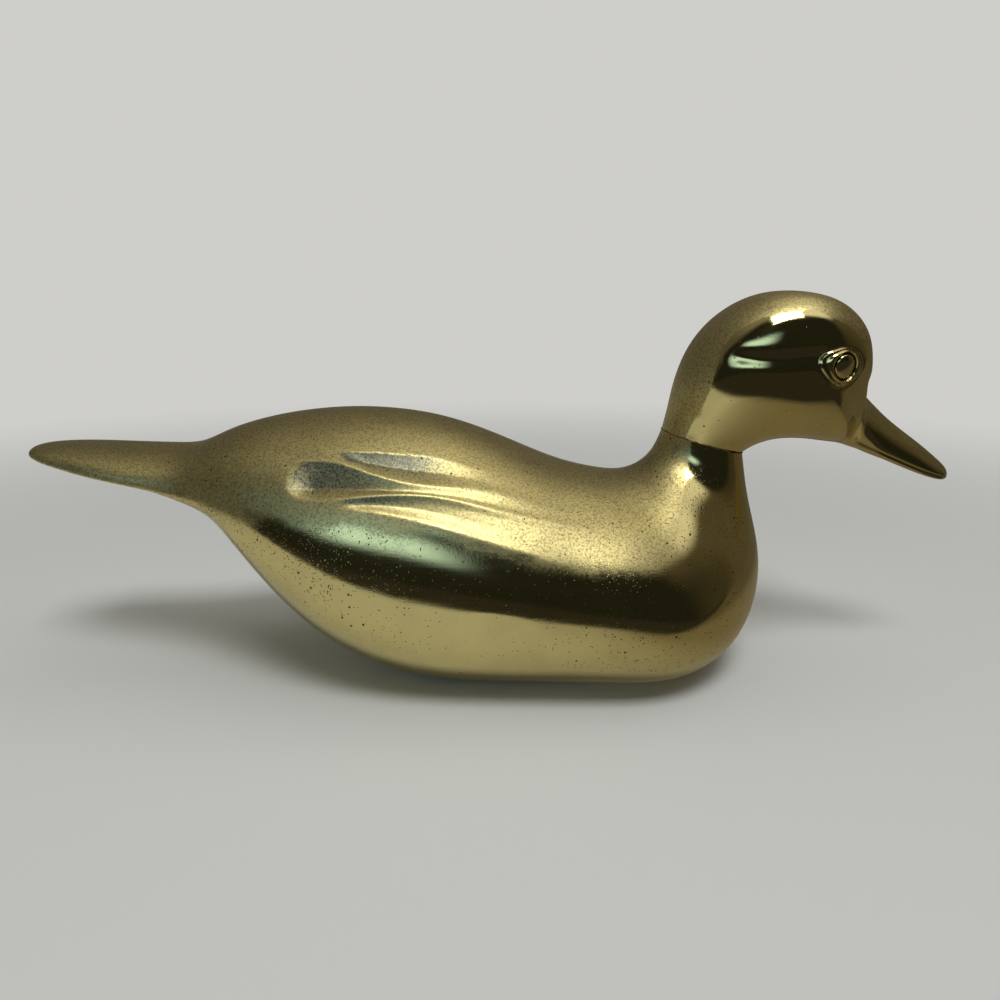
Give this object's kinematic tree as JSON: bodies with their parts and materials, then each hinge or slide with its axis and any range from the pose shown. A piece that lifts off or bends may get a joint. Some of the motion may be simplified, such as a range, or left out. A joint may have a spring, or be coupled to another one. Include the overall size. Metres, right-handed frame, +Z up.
{
  "type": "duck figurine",
  "caption": "Hollow cast brass duck ornament with a separate brazed-on head, a flat tail, fluted wings, inset eyes and a flat base to stand on.",
  "frame": {"origin": "on the standing plane, under the middle of the length and of the width", "axes": "+X towards the bill, +Y to the duck's left, +Z up"},
  "size_m": [0.3001, 0.097, 0.1225],
  "materials": {
    "body_brass": "satin on the back and wings, polished on the flanks, pitted from casting",
    "head_brass": "polished, with fine casting pits",
    "braze_filler": "dull filler, darkened in the seam",
    "eye_brass": "polished dome with a dark tarnished rim",
    "plug_brass": "filed flat and dull"
  },
  "bodies": {
    "root": {"left_body_shell": "body_brass", "right_body_shell": "body_brass", "body_seam_braze": "braze_filler", "head_casting": "head_brass", "neck_braze_ring": "braze_filler", "left_eye": "eye_brass", "right_eye": "eye_brass", "vent_plug": "plug_brass"}
  },
  "joints": []
}
